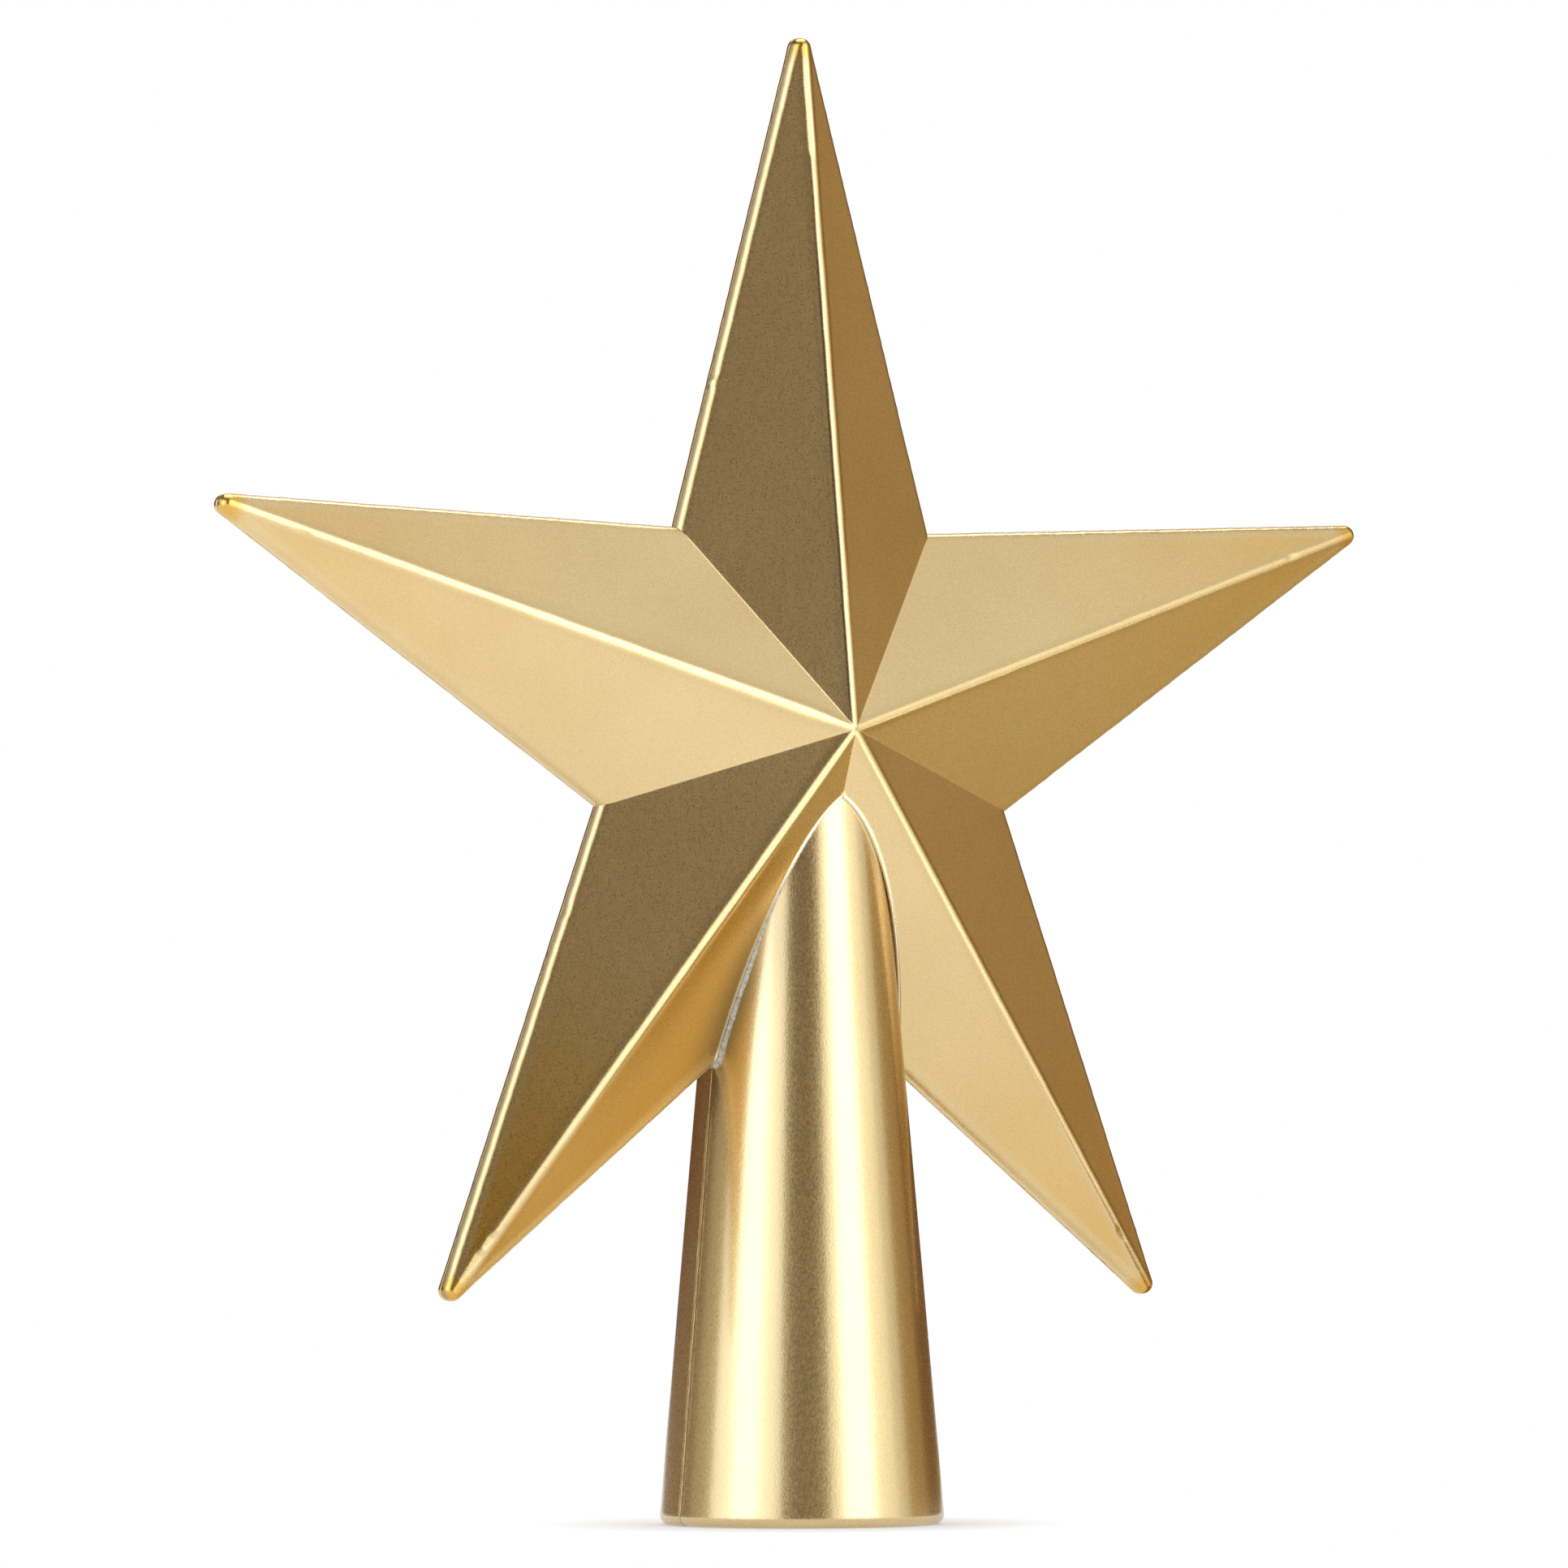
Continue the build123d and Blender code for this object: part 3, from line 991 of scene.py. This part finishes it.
# %% Dress every piece and tie it to the solid it stands for
dressing = [
    (front_shell, "front_star_shell", "star_gold", star_paint),
    (back_shell, "back_star_shell", "star_gold", star_paint),
    (star_line, "star_seam_cement", "seam_cement", cement),
    (front_socket, "front_socket_half", "socket_gold", socket_paint),
    (back_socket, "back_socket_half", "socket_gold", socket_paint),
    (socket_line, "socket_seam_cement", "seam_cement", cement),
    (front_glue, "front_arch_glue", "arch_glue", glue),
    (back_glue, "back_arch_glue", "arch_glue", glue),
]
for piece, node, slot, paint in dressing:
    piece.data.materials.append(paint)
    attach(piece, "root")
    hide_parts(node)
print("dressed", len(dressing), "pieces")

# %% [markdown]
# ## Camera
# The photograph was taken from a little below the star's centre, well to its left, with a long lens. The
# camera's place was worked out from the corners of the star, so the facets line up with the photograph.

# %% Set the camera
centre = Vector((0, 0, star_height)) * MM
camera_azimuth, camera_elevation, roll, distance = -31.13, -1.88, -0.12, 1.511
aim_left, aim_below = 0.00210, 0.00659


def way_to(azimuth, elevation):
    """Direction from the star's centre to a place at an azimuth and an elevation in degrees."""
    turn, tilt = np.radians(azimuth), np.radians(elevation)
    return Vector((np.sin(turn) * np.cos(tilt), -np.cos(turn) * np.cos(tilt), np.sin(tilt)))


to_camera = way_to(camera_azimuth, camera_elevation)
to_right = way_to(camera_azimuth + 90, 0)
position = centre + distance * to_camera
aim = centre - aim_left * to_right - aim_below * to_camera.cross(to_right)
lens = bpy.data.cameras.new("photo_camera")
lens.sensor_width, lens.lens, lens.clip_end = 36, 272.25, 20
camera = bpy.data.objects.new("photo_camera", lens)
upright = (position - aim).to_track_quat("Z", "Y").to_matrix().to_4x4()
rolled = Matrix.Rotation(np.radians(roll), 4, "Z")
camera.matrix_world = Matrix.Translation(position) @ upright @ rolled
scene.collection.objects.link(camera)
scene.camera = camera
print("camera at", [round(v, 4) for v in position])

# %% [markdown]
# ## Studio
# A shiny thing shows what stands round it. The photograph has two large soft lamps, one to each side,
# and a white table that lights the facets from below. Elsewhere it is dim and a little warm, which
# makes the dark facets dark. So bright scrims and dim cloths hang round the set here, and cards on the
# table show in the gloss of the lower facets. The camera looks through them all at white.

# %% Helpers for the stage
disc_sides = 64


def stage_sheet(name, points, faces, paint):
    """Sheet that belongs to the studio and not to the object."""
    mesh = bpy.data.meshes.new(name)
    mesh.from_pydata(np.array(points).tolist(), [], np.array(faces).tolist())
    mesh.materials.append(paint)
    sheet = bpy.data.objects.new(name, mesh)
    scene.collection.objects.link(sheet)
    return sheet


def stage_disc(name, radius, level, paint):
    """Round flat sheet at a level above the table, in metres."""
    turn = np.linspace(0, 2 * np.pi, disc_sides + 1)[:-1]
    edge = np.stack([radius * np.cos(turn), radius * np.sin(turn), np.full(disc_sides, level)], axis=-1)
    return stage_sheet(name, edge, [range(disc_sides)], paint)


def combine(tree, operation, first, second):
    """Product, maximum or the like of two values."""
    return add_node(tree, "Math", {0: first, 1: second}, operation=operation).outputs[0]


def seen_directly(tree):
    """1 for rays from the camera, from a gloss or through glass, and 0 for light that falls on things."""
    rays = add_node(tree, "LightPath", {}).outputs
    mirrored = combine(tree, "MAXIMUM", rays["Is Glossy Ray"], rays["Is Transmission Ray"])
    return combine(tree, "MAXIMUM", rays["Is Camera Ray"], mirrored)


def mix_shaders(tree, share, first, second):
    """Blend of two shader nodes by a share."""
    inputs = {0: share, 1: first.outputs[0], 2: second.outputs[0]}
    return add_node(tree, "MixShader", inputs).outputs[0]


print("discs have", disc_sides, "sides")

# %% White surroundings and a white table
world = bpy.data.worlds.new("studio")
scene.world = world
world.use_nodes = True
sky = world.node_tree
white = add_node(sky, "Background", {"Color": (1, 1, 1, 1)})
dim = set_inputs(sky, sky.nodes["Background"], {"Color": (0.3, 0.3, 0.3, 1)})
surroundings = mix_shaders(sky, seen_directly(sky), dim, white)
set_inputs(sky, sky.nodes["World Output"], {"Surface": surroundings})

table_paper, tree, place = new_paint("table_paper")
paper = add_node(tree, "BsdfDiffuse", {"Color": (0.9, 0.9, 0.9, 1)})
bright = add_node(tree, "Emission", {})
reach = add_node(tree, "VectorMath", {0: place}, operation="LENGTH").outputs["Value"]
far = spread_values(tree, reach, 0.04, 0.16, 0.32, 1.0)
beside = spread_values(tree, reach, 0.017, 0.034, 0.35, 1.0)
camera_ray = add_node(tree, "LightPath", {}).outputs["Is Camera Ray"]
in_gloss = combine(tree, "MULTIPLY", far, seen_directly(tree))
in_view = combine(tree, "MULTIPLY", beside, camera_ray)
take_surface(tree, mix_shaders(tree, combine(tree, "MAXIMUM", in_gloss, in_view), paper, bright))
stage_disc("table", 8, 0, table_paper)
print("table paper has", len(tree.nodes), "nodes")

# %% Scrims, cloths and cards round the set
drum_radius, drum_height, cloth_columns = 2.6, 2.2, 33
card_height = 0.002


def cloth_paint(name, colour):
    """Cloth that gives back an even light of one colour."""
    paint, tree, _ = new_paint(name)
    take_surface(tree, add_node(tree, "Emission", {"Color": (*colour, 1)}).outputs[0])
    return paint


def hang_cloth(name, start, stop, colour, low=0, high=drum_height, radius=drum_radius):
    """Part of a drum round the set, between two azimuths and two heights, unseen by the camera."""
    turn = np.radians(np.linspace(start, stop, cloth_columns))
    ring = np.stack([radius * np.sin(turn), -radius * np.cos(turn)], axis=-1)
    points = np.concatenate([np.column_stack([ring, np.full(cloth_columns, z)]) for z in (low, high)])
    cloth = stage_sheet(name, points, grid_faces(2, cloth_columns), cloth_paint(name, colour))
    cloth.visible_camera = False


def lay_card(name, near, far, colour):
    """Flat card on the table between two corners, seen only in the star's gloss."""
    plan = [near, (far[0], near[1]), far, (near[0], far[1])]
    card = stage_sheet(name, [(x, y, card_height) for x, y in plan], [range(4)], cloth_paint(name, colour))
    card.visible_camera = card.visible_diffuse = card.visible_shadow = False


hang_cloth("scrim_left", -112, -48.5, (1.36, 1.44, 1.48))
hang_cloth("cloth_front", -48.5, -7.5, (0.085, 0.045, 0.015))
hang_cloth("scrim_right", -7.5, 54, (1.12, 1.14, 1.06))
hang_cloth("scrim_edge", 54, 68, (0.72, 0.70, 0.60))
hang_cloth("cloth_right", 68, 95, (0.33, 0.21, 0.08))
hang_cloth("cloth_back", 95, 225, (0.14, 0.06, 0.02))
hang_cloth("cloth_left", 225, 248, (0.34, 0.29, 0.20))
hang_cloth("cloth_side", 208, 248, (0.85, 0.83, 0.76), low=0.62, high=1.6, radius=2.0)
lay_card("cloth_low", (0.14, -0.7), (1.6, 0.9), (0.47, 0.36, 0.18))
lay_card("gold_card", (0.064, -0.12), (0.17, 0.04), (0.28, 0.16, 0.01))
lay_card("white_card", (0.05, -1.0), (0.45, -0.16), (2.2, 2.2, 2.1))
over_paint = cloth_paint("cloth_over", (0.10, 0.09, 0.08))
stage_disc("cloth_over", drum_radius, drum_height, over_paint).visible_camera = False
print("cloths hang", drum_radius, "m from the star")

# %% Lamps


def soft_box(name, azimuth, elevation, distance, width, height, level, colour=(1, 1, 1)):
    """Area lamp that faces the star. Its power is its brightness times its area times pi."""
    direction = way_to(azimuth, elevation)
    lamp = bpy.data.lights.new(name, "AREA")
    lamp.shape, lamp.size, lamp.size_y = "RECTANGLE", width, height
    lamp.energy, lamp.color = level * np.pi * width * height, colour
    box = bpy.data.objects.new(name, lamp)
    facing = direction.to_track_quat("Z", "Y").to_matrix().to_4x4()
    box.matrix_world = Matrix.Translation(centre + distance * direction) @ facing
    scene.collection.objects.link(box)
    print(f"{name}: {lamp.energy:.2f} W")


soft_box("left_box", -79.5, 18, 1.2, 0.54, 0.92, 1.5, (0.56, 0.66, 0.84))
soft_box("right_box", 18, 16, 1.2, 0.62, 0.80, 1.8, (0.78, 0.84, 1))
soft_box("over_box", 35, 53, 1.4, 1.40, 0.65, 0.63)
soft_box("high_box", 150, 75, 1.5, 1.20, 1.20, 3.3)
soft_box("rear_box", 150, 30, 1.6, 0.80, 0.80, 0.5)
scene.view_settings.view_transform = "Standard"
